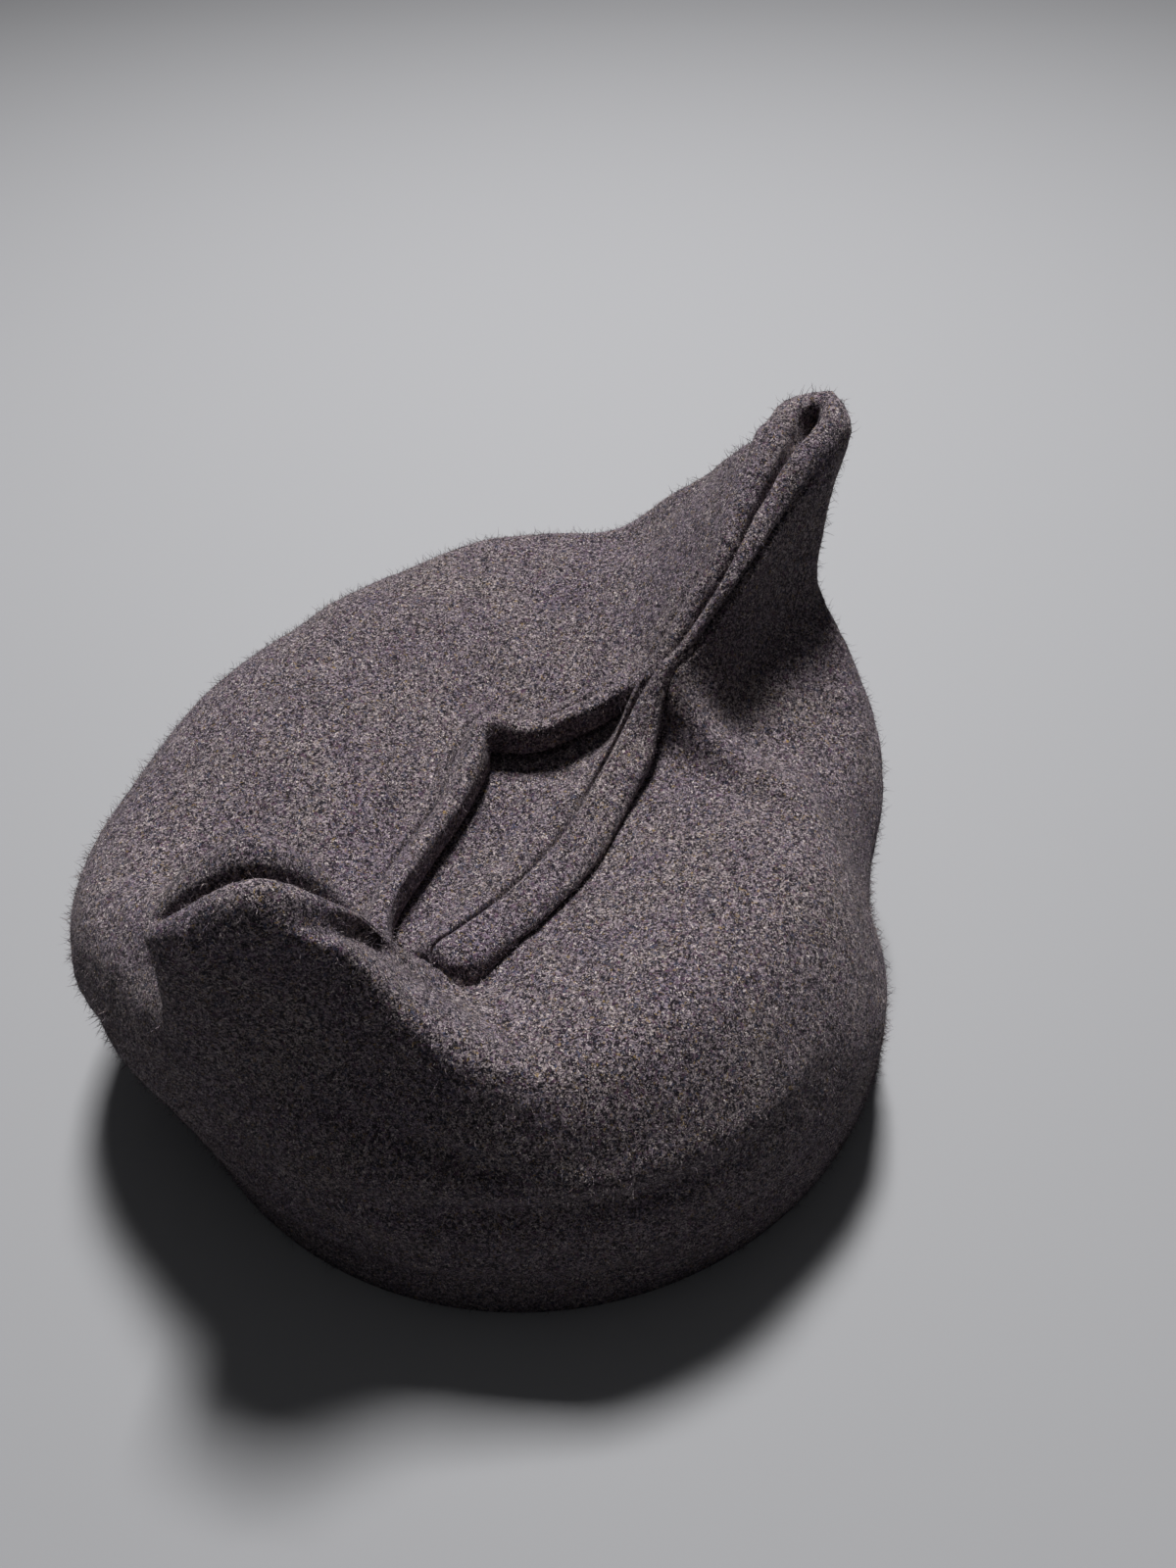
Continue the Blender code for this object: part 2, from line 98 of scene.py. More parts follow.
# %% The seam's table
SEAM = (
    # name          along   left across, rise   right across, rise  gape  turn  left, right lip, left fall
    ("low_tip",    -0.978, -0.088,  0.68,       -0.088,  0.68,      0.08, 1.00, 1.05, 1.05, 1.00),
    ("low_bend",   -0.970, -0.078,  0.71,       -0.078,  0.70,      0.08, 0.55, 1.30, 1.10, 1.00),
    ("low_turn",   -0.948, -0.052,  0.77,       -0.050,  0.75,      0.06, 0.15, 1.60, 1.05, 1.00),
    ("low_lip",    -0.905,  0.000,  0.88,        0.000,  0.84,      0.03, 0.02, 1.75, 1.00, 1.00),
    ("crest",      -0.830,  0.080,  0.98,        0.080,  0.93,      0.02, 0.00, 1.75, 1.00, 1.00),
    ("crest_back", -0.725,  0.138,  0.76,        0.138,  0.73,      0.12, 0.00, 1.50, 0.85, 1.00),
    ("near_end",   -0.600,  0.150,  0.24,        0.150,  0.22,      0.10, 0.00, 1.10, 0.25, 1.00),
    ("near_slot",  -0.545,  0.085,  0.19,        0.192, -0.05,      0.00, 0.00, 1.00, 0.00, 1.00),
    ("left_curve", -0.330, -0.005,  0.13,        0.199, -0.12,      0.00, 0.00, 1.00, 0.00, 1.00),
    ("widest",     -0.150, -0.052,  0.14,        0.199, -0.13,      0.00, 0.00, 1.00, 0.00, 1.00),
    ("above_kink", -0.020, -0.095,  0.19,        0.186, -0.13,      0.00, 0.00, 1.20, 0.00, 1.00),
    ("kink",        0.054, -0.130,  0.18,        0.170, -0.08,      0.00, 0.00, 1.45, 0.00, 1.00),
    ("past_kink",   0.098, -0.066,  0.15,        0.158, -0.07,      0.00, 0.00, 1.15, 0.00, 1.00),
    ("right_curve", 0.196,  0.008,  0.18,        0.133, -0.04,      0.00, 0.00, 1.00, 0.00, 1.00),
    ("far_slot",    0.330,  0.070,  0.23,        0.112,  0.04,      0.00, 0.00, 1.00, 0.00, 1.00),
    ("far_end",     0.382,  0.110,  0.27,        0.110,  0.27,      0.05, 0.00, 1.00, 0.35, 1.00),
    ("fin_foot",    0.475,  0.130,  0.40,        0.130,  0.40,      0.05, 0.00, 1.00, 0.50, 0.85),
    ("fin_low",     0.590,  0.156,  0.60,        0.156,  0.60,      0.05, 0.00, 1.10, 0.60, 0.65),
    ("fin_mid",     0.750,  0.144,  0.79,        0.144,  0.79,      0.08, 0.00, 1.25, 0.85, 0.50),
    ("fin_high",    0.880,  0.134,  0.92,        0.134,  0.92,      0.18, 0.00, 1.30, 1.00, 0.45),
    ("tip_turn",    0.945,  0.127,  0.96,        0.127,  0.96,      0.36, 0.12, 1.15, 0.95, 0.60),
    ("tip_bend",    0.987,  0.122,  0.98,        0.122,  0.98,      0.42, 0.52, 1.00, 0.92, 0.85),
    ("tall_tip",    1.000,  0.122,  0.99,        0.122,  0.99,      0.40, 1.00, 0.92, 0.90, 1.00),
)
NEAR_END = 6
FAR_END = 15

# %% [markdown]
# Felt has no straight lines, so every table is read through one smooth curve. smooth passes
# exactly through its points and takes unevenly spaced rows, which keeps the tables short.

# %% Smooth curves through table rows


def unit(vectors):
    return vectors / np.maximum(np.linalg.norm(vectors, axis=-1, keepdims=True), TINY)


def run_length(points):
    """Distance from a polyline's start at each of its points."""
    return np.concatenate(([0.0], np.cumsum(np.linalg.norm(np.diff(points, axis=0), axis=1))))


def read_at(length, values, distance):
    """Values given along a polyline, read at a distance from its start."""
    return np.array([np.interp(distance, length, values[:, axis]) for axis in range(3)])


def blend(u, low, low_slope, high, high_slope):
    """The cubic curve from low to high that leaves and arrives with the given slopes."""
    return (
        (1 + 2 * u) * (1 - u) ** 2 * low
        + u * (1 - u) ** 2 * low_slope
        + u * u * (3 - 2 * u) * high
        + u * u * (u - 1) * high_slope
    )


def smooth(points, knots, wanted):
    """Values of the smooth curve through points, one at each knot, at the wanted places."""
    points = np.asarray(points, dtype=float)
    knots = np.asarray(knots, dtype=float)
    wanted = np.asarray(wanted, dtype=float)
    shape = (-1,) + (1,) * (points.ndim - 1)
    step = np.diff(knots)
    chord = np.diff(points, axis=0) / step.reshape(shape)
    before = step[:-1].reshape(shape)
    after = step[1:].reshape(shape)
    slope = np.empty_like(points)
    slope[1:-1] = (chord[:-1] * after + chord[1:] * before) / (before + after)
    slope[0] = chord[0]
    slope[-1] = chord[-1]
    low = np.clip(np.searchsorted(knots, wanted, side="right") - 1, 0, len(knots) - 2)
    length = step[low]
    u = ((wanted - knots[low]) / length).reshape(shape)
    length = length.reshape(shape)
    return blend(u, points[low], length * slope[low], points[low + 1], length * slope[low + 1])


def place(along, across, rise):
    """A point of the seam from its shares."""
    if along < 0:
        reach, height = LOW_PEAK_REACH, LOW_PEAK_HEIGHT
    else:
        reach, height = TALL_PEAK_REACH, TALL_PEAK_HEIGHT
    return np.array((across * RIM_RADIUS, along * reach, CROWN_HEIGHT + rise * (height - CROWN_HEIGHT)))


LEFT_EDGE = np.array([place(row[1], row[2], row[3]) for row in SEAM])
RIGHT_EDGE = np.array([place(row[1], row[4], row[5]) for row in SEAM])
MIDDLE = (LEFT_EDGE + RIGHT_EDGE) / 2
SEAM_LENGTH = run_length(MIDDLE)
KNOTS = SEAM_LENGTH / SEAM_LENGTH[-1]
print("seam length in mm:", round(SEAM_LENGTH[-1] * 1000, 1))

# %% [markdown]
# The wall stands on a round rim, but soft felt bulges and tucks in on its way up. This table
# gives its outline half-way up and at the shoulder, at bearings seen from above.

# %% The wall's table
WALL = (
    # bearing  half-way  shoulder  height
    (-160,     1.05,     1.05,     1.04),
    (-134,     1.11,     1.13,     0.97),
    (-120,     1.12,     1.15,     0.94),
    (-108,     1.07,     1.08,     0.98),
    (-95,      1.02,     1.00,     1.10),
    (-82,      0.99,     0.90,     1.18),
    (-72,      0.98,     0.83,     1.22),
    (-62,      0.98,     0.85,     1.09),
    (-49,      0.99,     0.90,     0.98),
    (-35,      1.00,     0.94,     0.94),
    (-20,      1.01,     0.96,     0.91),
    (-5,       1.01,     0.96,     0.87),
    (15,       0.99,     0.95,     0.84),
    (32,       0.91,     0.87,     0.86),
    (48,       0.96,     0.97,     0.95),
    (59,       1.01,     1.02,     1.03),
    (70,       1.01,     1.02,     1.21),
    (83,       1.01,     1.01,     1.30),
    (95,       1.02,     1.05,     1.70),
    (107,      1.03,     1.05,     1.44),
    (120,      1.04,     1.07,     1.22),
    (130,      1.04,     1.09,     1.21),
    (141,      1.03,     1.09,     1.19),
    (154,      1.03,     1.07,     1.12),
    (165,      1.02,     1.04,     1.10),
    (178,      1.02,     1.02,     1.07),
    (188,      1.03,     1.04,     1.07),
)


def wall_at(bearing):
    """Half-way share, shoulder share and shoulder height share of the wall at a bearing."""
    rows = np.array(WALL, dtype=float)
    turn = np.array((360.0, 0.0, 0.0, 0.0))
    closed = np.vstack((rows[-2:] - turn, rows, rows[:2] + turn))
    wrapped = (bearing - rows[0, 0]) % 360.0 + rows[0, 0]
    return smooth(closed[:, 1:], closed[:, 0], [wrapped])[0]


def at_bearing(bearing, radius, height):
    return np.array((cos(radians(bearing)) * radius, sin(radians(bearing)) * radius, height))


# %% [markdown]
# From the shoulder each side runs in to the seam as a panel. The left one swells gently. The
# right one swells in front and falls into a deep hollow beside the tall peak.

# %% The two panels
LEFT_PANEL = (
    # along    in    dip     in    dip
    (-1.000,  0.32,  0.00,  0.72,  0.00),
    (-0.820,  0.32,  0.00,  0.72,  0.05),
    (-0.600,  0.32, -0.06,  0.72,  0.00),
    (-0.330,  0.32, -0.12,  0.72, -0.09),
    (0.050,   0.32, -0.12,  0.72, -0.05),
    (0.330,   0.32, -0.05,  0.72,  0.00),
    (0.475,   0.32,  0.02,  0.72,  0.05),
    (0.590,   0.34,  0.04,  0.74,  0.02),
    (0.750,   0.40,  0.02,  0.80, -0.02),
    (0.890,   0.42, -0.05,  0.80, -0.03),
    (1.000,   0.32,  0.00,  0.72,  0.00),
)
RIGHT_PANEL = (
    (-1.000,  0.32,  0.00,  0.72,  0.00),
    (-0.820,  0.32,  0.00,  0.72, -0.04),
    (-0.725,  0.32, -0.06,  0.72, -0.10),
    (-0.600,  0.32, -0.11,  0.72, -0.09),
    (-0.330,  0.32, -0.16,  0.72, -0.08),
    (0.050,   0.32, -0.20,  0.72, -0.10),
    (0.330,   0.32, -0.15,  0.72, -0.03),
    (0.475,   0.35,  0.04,  0.75,  0.18),
    (0.590,   0.40,  0.16,  0.85,  0.30),
    (0.750,   0.50,  0.24,  0.88,  0.32),
    (0.890,   0.52,  0.20,  0.88,  0.22),
    (1.000,   0.32,  0.00,  0.72,  0.00),
)


def panel_at(table, along):
    rows = np.array(table)
    return smooth(rows[:, 1:], rows[:, 0], [along])[0]


# %% [markdown]
# Each row of the seam gets a meridian: ten places from the rim up the wall, over the shoulder,
# across the panel, over the rolled edge and down into the groove. The rolled edge turns with the
# felt round each peak's tip.

# %% Ten places on every meridian


def lip_direction(index, tangent, side):
    """Direction in which the lip lies beside the seam; it turns round each tip."""
    sideways = unit(np.array((tangent[1], -tangent[0], 0.0)) * side)
    outward = tangent if index > len(SEAM) / 2 else -tangent
    turn = SEAM[index][7]
    return unit(sideways * (1.0 - turn) + outward * turn)


def meridian_stations(index, side):
    """One row's places with its rolled edge, and the same without it for the felt's inside."""
    edges, panels = (RIGHT_EDGE, RIGHT_PANEL) if side > 0 else (LEFT_EDGE, LEFT_PANEL)
    sweep = BACK_BEARING - FRONT_BEARING - (0.0 if side > 0 else 360.0)
    bearing = FRONT_BEARING + sweep * KNOTS[index]
    half_way, shoulder_out, shoulder_up = wall_at(bearing)
    height = shoulder_up * WALL_HEIGHT
    rim = at_bearing(bearing, RIM_RADIUS, 0.0)
    belly = at_bearing(bearing, half_way * RIM_RADIUS, height / 2)
    shoulder = at_bearing(bearing, shoulder_out * RIM_RADIUS, height)

    tangent = unit(np.gradient(edges, KNOTS, axis=0))[index]
    up = unit(UP - tangent * tangent[2])
    out = lip_direction(index, tangent, side)
    gape, _, left_lip, right_lip, left_fall = SEAM[index][6:]
    lip, fall = (right_lip, 1.0) if side > 0 else (left_lip, left_fall)
    width = LIP_WIDTH * (max(lip, NARROWEST) if lip > 0.0 else 1.0)
    rise = LIP_HEIGHT * lip
    depth = rise * (1.0 + 2.0 * gape)
    start = edges[index] + out * gape * LIP_WIDTH

    bottom = edges[index] - up * depth
    lip_inside = start + out * LIP_INSIDE * width - up * INSIDE_DROP * rise
    swell = max(lip - 1.0, 0.0)
    lip_top = start + out * LIP_TOP * width + up * swell * SWELL_RISE * LIP_HEIGHT
    lip_foot = start + out * LIP_FOOT * width - up * fall * rise
    inside_under = start + out * LIP_INSIDE * width - up * depth
    top_under = lip_top - up * rise

    outer_in, outer_dip, inner_in, inner_dip = panel_at(panels, SEAM[index][1])
    panel_outer = shoulder + (lip_foot - shoulder) * outer_in
    panel_outer[2] -= outer_dip * WALL_HEIGHT
    panel_inner = shoulder + (lip_foot - shoulder) * inner_in
    panel_inner[2] -= inner_dip * WALL_HEIGHT
    bend = min(SHOULDER_ROUND, np.linalg.norm(panel_outer - shoulder) / 2)
    wall_top = shoulder + unit(belly - shoulder) * bend
    brow = shoulder + unit(panel_outer - shoulder) * bend
    shared = [rim, belly, wall_top, brow, panel_outer, panel_inner]
    return (
        shared + [lip_foot, lip_top, lip_inside, bottom],
        shared + [lip_foot, top_under, inside_under, bottom],
    )


def closed_rows():
    """All rows' stations in a loop: up the right side from the low tip, then down the left."""
    last = len(SEAM) - 1
    right = np.array([meridian_stations(i, 1) for i in range(last + 1)])
    left = np.array([meridian_stations(i, -1) for i in range(last + 1)])
    for tip in (0, last):
        right[tip] = (right[tip] + left[tip]) / 2
    loop = np.concatenate((right, left[last - 1:0:-1]))
    return loop.transpose(1, 0, 2, 3)


LOOP = closed_rows()
LOOP_KNOTS = np.concatenate((KNOTS, 2.0 - KNOTS[-2:0:-1]))
WRAP = 3
print("stations:", LOOP.shape)

# %% [markdown]
# Two smooth sweeps turn those places into skins: once round the loop of rows, once along each
# meridian. The inner skin is the same sweep without the rolled edge, moved in by the felt's
# thickness, so the hat is hollow and its wall is three millimetres of felt everywhere.

# %% The felt's outer and inner skins


def closed_at(wanted):
    """Whether the seam is closed at places of the loop."""
    along = np.minimum(wanted % 2.0, (2.0 - wanted) % 2.0)
    return (along <= KNOTS[NEAR_END]) | (along >= KNOTS[FAR_END])


def rows_at(kind, wanted):
    """Stations at places of the loop: 0 to 1 runs up the right side, 1 to 2 down the left."""
    rows = LOOP[kind]
    points = np.concatenate((rows[-WRAP:], rows, rows[:WRAP]))
    knots = np.concatenate((LOOP_KNOTS[-WRAP:] - 2.0, LOOP_KNOTS, LOOP_KNOTS[:WRAP] + 2.0))
    wanted = np.asarray(wanted, dtype=float)
    result = smooth(points, knots, wanted)
    mirrored = smooth(points, knots, 2.0 - wanted)
    closed = closed_at(wanted)
    result[closed, -1] = (result[closed, -1] + mirrored[closed, -1]) / 2
    return result


def meridians(rows, steps, ease=None):
    """Each row's stations joined by a smooth curve, with the given steps in each stretch.

    ease crowds a stretch's steps: above 1 towards its start, below -1 towards its end.
    """
    ease = ease or [1.0] * len(steps)
    curves = []
    for stations in rows:
        length = np.sqrt(np.linalg.norm(np.diff(stations, axis=0), axis=1)) + SHORTEST
        knots = np.concatenate(([0.0], np.cumsum(length)))
        wanted = []
        for low, high, count, bend in zip(knots[:-1], knots[1:], steps, ease):
            share = np.arange(count) / count
            share = 1.0 - (1.0 - share) ** (-bend) if bend < 0 else share ** bend
            wanted.extend(low + (high - low) * share)
        wanted.append(knots[-1])
        curves.append(smooth(stations, knots, wanted))
    return np.array(curves)


def outside_at(wanted, steps, ease=None):
    return meridians(rows_at(0, wanted), steps, ease)


def inside_at(wanted, steps):
    """The felt's inner face: the face without its lip, moved in by the felt's thickness."""
    wanted = np.asarray(wanted, dtype=float)
    face = meridians(rows_at(1, wanted), steps)
    ahead = meridians(rows_at(1, wanted + NUDGE), steps)
    behind = meridians(rows_at(1, wanted - NUDGE), steps)
    along = np.gradient(face, axis=1)
    normal = unit(np.cross(ahead - behind, along))
    normal[:, 0] = unit(normal[:, 0] * (1.0, 1.0, 0.0))
    closed = closed_at(wanted)
    mirrored = meridians(rows_at(1, 2.0 - wanted), steps)
    across = face[:, -2] - mirrored[:, -2]
    ridge = np.cross(ahead[:, -1] - behind[:, -1], across)
    apart = np.linalg.norm(across, axis=1) > PINCH
    normal[closed & apart, -1] = unit(ridge[closed & apart])
    flipped = normal[:, -1, 2] < 0
    normal[flipped, -1] *= -1
    normal[closed & ~apart, -1] = normal[closed & ~apart, -2]
    return face - normal * FELT


# %% [markdown]
# Boiled wool is never quite smooth. Slow swells a finger wide and small lumps a few millimetres
# across move the outer skin in and out, and a few soft wrinkles lie round the wall where the felt
# slumps. These are real vertex moves, so they also show at the outline.

# %% Swells, lumps and wrinkles
LUMPS = (
    # height in metres, how many to a metre
    (0.00090, 38.0),
    (0.00022, 260.0),
    (0.00012, 620.0),
)
QUIET_RIM = 0.006
WRINKLES = (
    # bearing  height   tilt     reach  half width  depth, in degrees and metres
    (-42.0,    0.0430,  0.0030,  26.0,  0.0045,     0.0026),
    (-62.0,    0.0150,  0.0045,  30.0,  0.0040,     0.0012),
    (-58.0,    0.0560,  -0.0060, 14.0,  0.0035,     0.0013),
    (-20.0,    0.0210,  0.0090,  26.0,  0.0045,     0.0012),
    (-92.0,    0.0300,  -0.0040, 20.0,  0.0045,     0.0012),
    (-112.0,   0.0480,  0.0100,  18.0,  0.0040,     0.0011),
    (150.0,    0.0240,  0.0050,  34.0,  0.0042,     0.0009),
    (60.0,     0.0200,  -0.0050, 24.0,  0.0040,     0.0009),
)


def unevenness(points):
    """How far each point of the outer skin stands out or sinks in, in metres."""
    depth = np.empty(len(points))
    for number, point in enumerate(points):
        spot = Vector(point)
        depth[number] = sum(height * noise.noise(spot * rate) for height, rate in LUMPS)
    return depth


CREASE_DEPTH = 0.0026
CREASE_HALF_WIDTH = 0.0008
CREASE_BANK = 0.30
BANK_PLACE = 2.4
BANK_WIDTH = 1.4
WRINKLE_BANK = 0.7
WRINKLE_BANK_PLACE = 1.6
CREASE = (
    # along   left  right
    (-1.000,  0.10, 0.00),
    (-0.725,  0.35, 0.00),
    (-0.600,  0.60, 0.00),
    (-0.500,  1.00, 0.00),
    (0.300,   1.00, 0.00),
    (0.400,   0.70, 0.30),
    (0.520,   0.25, 0.60),
    (0.650,   0.00, 0.50),
    (0.850,   0.00, 0.20),
    (1.000,   0.00, 0.00),
)
CROWN_STARTS = 0.8
SOFT_LINES = (
    # half width, depth, then the line's own places as across and along shares
    (0.0010, 0.0012, (
        (-0.165, 0.185), (-0.117, 0.241), (-0.059, 0.329), (-0.028, 0.430), (-0.018, 0.540),
    )),
)


def crease_profile(distance, half_width):
    """A valley with a slight swelling on either side, at distances from its middle line."""
    step = distance / half_width
    bank = np.exp(-((np.abs(step) - BANK_PLACE) / BANK_WIDTH) ** 2)
    return CREASE_BANK * bank - np.exp(-step ** 2)


def crease_depth(grid, wanted, half_width=CREASE_HALF_WIDTH):
    """The sewn crease at the foot of each rolled edge."""
    length = np.cumsum(np.linalg.norm(np.diff(grid, axis=1, prepend=grid[:, :1]), axis=2), axis=1)
    table = np.array(CREASE)
    along = smooth(np.array([row[1] for row in SEAM]), KNOTS, np.minimum(wanted, 2.0 - wanted))
    share = np.where(
        wanted > 1.0,
        np.interp(along, table[:, 0], table[:, 1]),
        np.interp(along, table[:, 0], table[:, 2]),
    )
    profile = crease_profile(length - length[:, FOOT_PLACE:FOOT_PLACE + 1], half_width)
    return CREASE_DEPTH * share[:, None] * profile


def soft_line_depth(points):
    """Faint creases that run over the crown along their own lines, seen from above."""
    total = np.zeros(len(points))
    for half_width, depth, shares in SOFT_LINES:
        line = np.array([(across * RIM_RADIUS, along * TALL_PEAK_REACH) for across, along in shares])
        nearest = np.full(len(points), 1.0)
        fade = np.zeros(len(points))
        whole = len(line) - 1
        for number, (start, end) in enumerate(zip(line[:-1], line[1:])):
            span = end - start
            part = np.clip((points[:, :2] - start) @ span / (span @ span), 0.0, 1.0)
            gap = np.linalg.norm(points[:, :2] - start - part[:, None] * span, axis=1)
            closer = gap < nearest
            nearest[closer] = gap[closer]
            fade[closer] = np.sqrt(np.sin(np.pi * (number + part[closer]) / whole))
        above = points[:, 2] > WALL_HEIGHT * CROWN_STARTS
        total += depth * fade * above * crease_profile(nearest, half_width)
    return total


def wrinkle_depth(points):
    """The soft wrinkles round the wall: a shallow valley with a swelling above it."""
    bearing = np.degrees(np.arctan2(points[:, 1], points[:, 0]))
    total = np.zeros(len(points))
    for middle, height, tilt, reach, half_width, depth in WRINKLES:
        turn = (bearing - middle + 180.0) % 360.0 - 180.0
        above = (points[:, 2] - height - tilt * turn / reach) / half_width
        fade = np.exp(-(turn / reach) ** 2)
        bank = WRINKLE_BANK * np.exp(-(above - WRINKLE_BANK_PLACE) ** 2)
        total += depth * fade * (bank - np.exp(-above ** 2))
    return total


# %% [markdown]
# The crown. The rows are spread evenly along the seam, so that each quad is about a millimetre
# wide, and the two skins are joined at the rim and along the open stretch round the leaf.

# %% The crown's mesh
CROWN_ROWS = (56, 140, 84)
OUTER_STEPS = (20, 14, 12, 12, 22, 16, 9, 6, 3)
OUTER_EASE = (1.0, 1.0, 1.0, 1.0, 1.0, -2.0, 1.5, 1.0, 1.0)
INNER_STEPS = (4, 3, 2, 3, 5, 3, 2, 1, 1)
FOOT_PLACE = sum(OUTER_STEPS[:6])
FOOT_FROM_GROOVE = sum(OUTER_STEPS[6:])


def loop_places():
    """Even places along the seam in the closed, open and closed stretch, for both sides."""
    limits = (0.0, KNOTS[NEAR_END], KNOTS[FAR_END], 1.0)
    half = [np.linspace(low, high, count, endpoint=False)
            for low, high, count in zip(limits[:-1], limits[1:], CROWN_ROWS)]
    half = np.concatenate(half + [[1.0]])
    return np.concatenate((half, 2.0 - half[-2:0:-1]))


def outward(grid):
    """Outward direction at each place of a grid of rows round the loop."""
    round_loop = np.roll(grid, -1, axis=0) - np.roll(grid, 1, axis=0)
    return unit(np.cross(round_loop, np.gradient(grid, axis=1)) + TINY)


def roughened(grid, wanted):
    """The outer skin with swells, wrinkles and creases; the rim and the groove stay as they are."""
    flat = grid.reshape(-1, 3)
    depth = (unevenness(flat) + wrinkle_depth(flat) + soft_line_depth(flat)).reshape(grid.shape[:2])
    depth += crease_depth(grid, wanted)
    depth *= np.clip(grid[:, :, 2] / QUIET_RIM, 0.0, 1.0)
    depth[:, -3:] = 0.0
    return grid + outward(grid) * depth[:, :, None]


def grid_indices(shape, near, far, first):
    """Vertex numbers of one skin; both sides share the groove where the seam is closed."""
    count, stations = shape
    index = first + np.arange(count * stations).reshape(shape)
    for row in range(count // 2 + 1, count):
        mate = count - row
        if mate <= near or mate >= far:
            index[row, -1] = index[mate, -1]
    return index


def quads(index, flip):
    """Faces between neighbouring rows of one skin."""
    following = np.roll(index, -1, axis=0)
    ring = np.stack((index[:, :-1], following[:, :-1], following[:, 1:], index[:, 1:]), axis=-1)
    ring = ring.reshape(-1, 4)
    return ring[:, ::-1] if flip else ring


def strip(lower, upper, rows):
    """Faces that join two skins' edges along the given rows."""
    ahead = (rows + 1) % len(lower)
    return np.stack((lower[ahead], lower[rows], upper[rows], upper[ahead]), axis=-1)


def new_object(name, points, faces):
    """An object made from a list of faces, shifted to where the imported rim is."""
    mesh = bpy.data.meshes.new(name)
    mesh.from_pydata((points + RIM_CENTRE).tolist(), [], faces)
    made = bpy.data.objects.new(name, mesh)
    bpy.context.scene.collection.objects.link(made)
    print(name, "faces:", len(faces))
    return made


def soft_object(name, points, faces):
    """A smooth-shaded object, without doubled corners and loose points."""
    faces = [list(dict.fromkeys(int(corner) for corner in face)) for face in faces]
    faces = [face for face in faces if len(face) > 2]
    used = sorted({corner for face in faces for corner in face})
    number = {corner: new for new, corner in enumerate(used)}
    made = new_object(name, points[used], [[number[corner] for corner in face] for face in faces])
    made.data.shade_smooth()
    return made


places = loop_places()
near_row = CROWN_ROWS[0]
far_row = CROWN_ROWS[0] + CROWN_ROWS[1]
outer_skin = roughened(outside_at(places, OUTER_STEPS, OUTER_EASE), places)
inner_skin = inside_at(places, INNER_STEPS)
outer_index = grid_indices(outer_skin.shape[:2], near_row, far_row, 0)
inner_index = grid_indices(inner_skin.shape[:2], near_row, far_row, outer_skin[:, :, 0].size)
all_rows = np.arange(len(places))
mates = np.minimum(all_rows, (len(places) - all_rows) % len(places))
next_mates = np.roll(mates, -1)
lowest = np.minimum(mates, next_mates)
highest = np.maximum(mates, next_mates)
open_rows = all_rows[(lowest >= near_row) & (highest <= far_row)]
crown_faces = np.concatenate((
    quads(outer_index, False),
    quads(inner_index, True),
    strip(outer_index[:, 0], inner_index[:, 0], all_rows),
    strip(inner_index[:, -1], outer_index[:, -1], open_rows),
))
outer_points = outer_skin.reshape(-1, 3)
crown = soft_object("crown_felt", np.concatenate((outer_points, inner_skin.reshape(-1, 3))), crown_faces)

# %% [markdown]
# The leaf lies under the left panel and over the right one. Its right margin is folded back on
# itself and stitched down, so it stands as a rounded band with a dark crevice along its fold.
# Towards the tall peak the leaf comes up from under the left edge and runs on as the peak's ridge:
# its band becomes the peak's narrow right edge and its middle becomes the broad left one.
# The names in capitals that end in IN or OUT are shares of the band's width, those that end in DROP
# are shares of its height, and the ridge's pairs are a place across a rolled edge and a lift.

# %% The leaf's fold table and sections
FOLD = (
    # along   across  rise
    (-0.545,  0.252,  0.070),
    (-0.500,  0.272,  0.030),
    (-0.410,  0.282,  0.000),
    (-0.315,  0.287, -0.018),
    (-0.157,  0.284, -0.026),
    (-0.022,  0.270, -0.022),
    (0.078,   0.248,  0.005),
    (0.176,   0.224,  0.042),
    (0.275,   0.207,  0.105),
    (0.353,   0.202,  0.153),
    (0.392,   0.204,  0.185),
)
LEAF_ROWS = (12, 40, 98)
RING_STEPS = 6
STITCH_PLACE = 4
TOP_PLACES = (0, 1, 2, 5, 6, 7, 8)
LEAF_INSET = 0.003
BAND_INSET = 0.044
NEAR_ROUND = 0.024
FLAP = 0.20
END_SINK = 0.0016
STITCH_DIMPLE = 0.0019
STITCH_DROP = 0.12
LEAF_BANK = 0.06
BAND_BANK = 0.87
BAND_BANK_DROP = 0.02
CREST_IN = 0.50
BROW_IN = 0.12
BROW_DROP = 0.16
NOSE_DROP = 0.50
FOOTING_IN = 0.70
HEEL_OUT = 0.10
MIDDLE_SHARE = 0.45
MIDDLE_DROP = 0.10
UNDER_STITCH_OUT = 0.15
UNDER_STITCH_FELT = 1.6
RIDGE_LIFT = 0.0008
RIDGE_REACH = 0.050
RIDGE_FADE = 1.6
RAMP_BEFORE = 0.080
RAMP_AFTER = 0.012
RAMP_NUDGE = 0.004
RIDGE_MARGIN = (0.95, 0.4)
RIDGE_LEFT = ((0.82, 0.6), (0.60, 1.0), (0.38, 1.0))
RIDGE_RIGHT = ((0.10, 0.4), (0.30, 1.0), (0.50, 1.0), (0.75, 1.0), (0.95, 0.6))
RIDGE_RIGHT_UNDER = ((1.12, 0.8), (0.95, 1.4), (0.55, 2.2), (0.15, 2.2))
RIDGE_LEFT_UNDER = ((0.45, 2.2), (0.75, 2.0), (0.90, 1.4))


